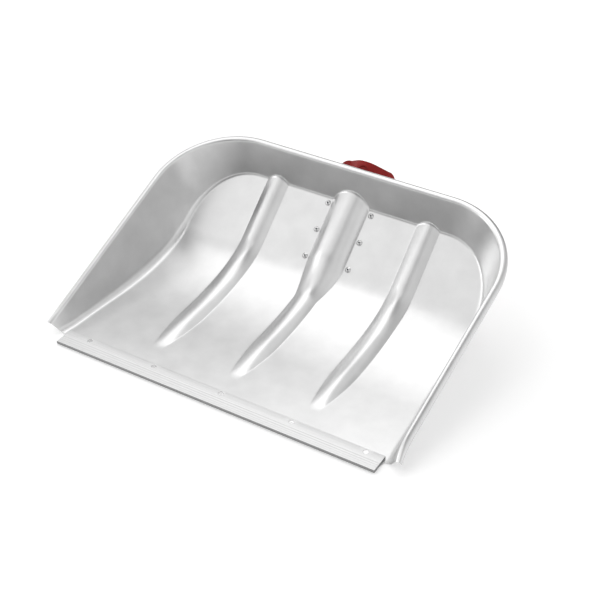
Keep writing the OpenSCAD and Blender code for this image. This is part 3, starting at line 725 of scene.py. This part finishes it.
# The moulded socket keeps its CAD shape, with moulded edges
socket = {"edgeR": 0.5, "edgeSteps": 3, "edgeAngle": 28, "mergeGap": 0.002, "flatAngle": 0.6, "smoothAngle": 35}
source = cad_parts["handle_socket"].data
mesh = bmesh.new()
mesh.from_mesh(source)
bmesh.ops.remove_doubles(mesh, verts=mesh.verts, dist=socket["mergeGap"] * mm)
flatLimit = math.radians(socket["flatAngle"])        # joins the facets of flat faces
bmesh.ops.dissolve_limit(mesh, angle_limit=flatLimit, verts=mesh.verts, edges=mesh.edges)
points = [v.co / mm for v in mesh.verts]
faces = [tuple(v.index for v in f.verts) for f in mesh.faces]
mesh.free()
socketPiece = newPiece("mouldedSocket", points, faces, redPlastic, "socket", "handle_socket")
edges = socketPiece.modifiers.new("moulded edges", "BEVEL")
edges.width, edges.segments = socket["edgeR"] * mm, socket["edgeSteps"]
edges.limit_method, edges.angle_limit = "ANGLE", math.radians(socket["edgeAngle"])
smoothShade(socketPiece, socket["smoothAngle"])
print("socket made")

# Washers under the flange stay as the CAD made them
for i in range(1, len(rivetPlaces) + 1):
    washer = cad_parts["rivet_washer_%d" % i]
    washer.data.materials.clear()
    washer.data.materials.append(steel)


# Studio: a pale floor, bright walls at both sides, a dim room in front and behind, and five soft lamps
studio = {
    "floorColour": "#f4f4f4", "floorGlow": 0.3, "floorHalf": 6, "floorDrop": 0.0002,
    "room": 0.2, "walls": 1.12, "aim": (0, 0, 0.05),
    "lamps": {
        "frontLeft": {"at": (-0.78, -0.78, 1.96), "size": 1.6, "power": 4.8},
        "rearLeft": {"at": (-0.73, 0.73, 1.99), "size": 1.6, "power": 8.4},
        "rear": {"at": (0.11, 1.23, 1.87), "size": 1.6, "power": 4.5},
        "left": {"at": (-1.79, -0.91, 0.94), "size": 0.9, "power": 4},
        "frontRight": {"at": (0.58, -1.01, 1.92), "size": 1.6, "power": 2.4},
    },
}


# Studio paper, matt: a white ground that keeps the shadow, and glows a little for camera and mirror rays
def paleFloor():
    material, tree = newMaterial("studio paper, matt")
    path = addNode(tree, "ShaderNodeLightPath")
    seen = addNode(tree, "ShaderNodeMath", {"operation": "MAXIMUM"}, {
        0: path.outputs["Is Camera Ray"], 1: path.outputs["Is Glossy Ray"]})
    seen = addNode(tree, "ShaderNodeMath", {"operation": "MAXIMUM"}, {
        0: seen.outputs[0], 1: path.outputs["Is Transmission Ray"]})
    glow = addNode(tree, "ShaderNodeMath", {"operation": "MULTIPLY"}, {
        0: seen.outputs[0], 1: studio["floorGlow"]})
    paper = addNode(tree, "ShaderNodeBsdfDiffuse", inputs={"Color": hexColour(studio["floorColour"])})
    light = addNode(tree, "ShaderNodeEmission", inputs={"Color": (1, 1, 1, 1), "Strength": glow.outputs[0]})
    both = addNode(tree, "ShaderNodeAddShader", inputs={0: paper.outputs[0], 1: light.outputs[0]})
    addNode(tree, "ShaderNodeOutputMaterial", inputs={"Surface": both.outputs[0]})
    return material


half, low = studio["floorHalf"], -studio["floorDrop"]
floorMesh = bpy.data.meshes.new("floor")
floorMesh.from_pydata([(-half, -half, low), (half, -half, low), (half, half, low), (-half, half, low)],
                      [], [(0, 1, 2, 3)])
floorMesh.materials.append(paleFloor())
floor = bpy.data.objects.new("floor", floorMesh)
scene.collection.objects.link(floor)

world = bpy.data.worlds.new("studio")
world.use_nodes = True
tree = world.node_tree
tree.nodes.clear()
direction = addNode(tree, "ShaderNodeTexCoord").outputs["Generated"]
across = addNode(tree, "ShaderNodeSeparateXYZ", inputs={"Vector": direction}).outputs["X"]
across = addNode(tree, "ShaderNodeMath", {"operation": "ABSOLUTE"}, {0: across}).outputs[0]
walls = addNode(tree, "ShaderNodeMapRange", inputs={
    "Value": across, "To Min": studio["room"], "To Max": studio["walls"]}).outputs["Result"]
background = addNode(tree, "ShaderNodeBackground", inputs={"Color": (1, 1, 1, 1), "Strength": walls})
addNode(tree, "ShaderNodeOutputWorld", inputs={"Surface": background.outputs[0]})
scene.world = world

for name, lamp in studio["lamps"].items():
    light = bpy.data.lights.new(name, "AREA")
    light.shape, light.size, light.energy = "SQUARE", lamp["size"], lamp["power"]
    holder = bpy.data.objects.new(name, light)
    holder.location = lamp["at"]
    towards = Vector(studio["aim"]) - Vector(lamp["at"])
    holder.rotation_euler = towards.to_track_quat("-Z", "Y").to_euler()
    scene.collection.objects.link(holder)

# Camera at the photograph's angle, found from the rim, the rivets and the strip
view = {
    "at": (696.48, -940.78 + shiftY, 1002.11), "lens": 78.896, "sensor": 36, "farEnd": 50,
    "right": (0.85595, 0.51706, 0), "up": (-0.30478, 0.50453, 0.80779), "back": (0.41768, -0.69143, 0.58944),
}
lens = bpy.data.cameras.new("camera")
lens.sensor_width, lens.lens, lens.clip_end = view["sensor"], view["lens"], view["farEnd"]
camera = bpy.data.objects.new("camera", lens)
axes = Matrix((view["right"], view["up"], view["back"])).transposed().to_4x4()
camera.matrix_world = Matrix.Translation(Vector(view["at"]) * mm) @ axes
scene.collection.objects.link(camera)
scene.camera = camera
scene.view_settings.view_transform = "Standard"
print("studio made")
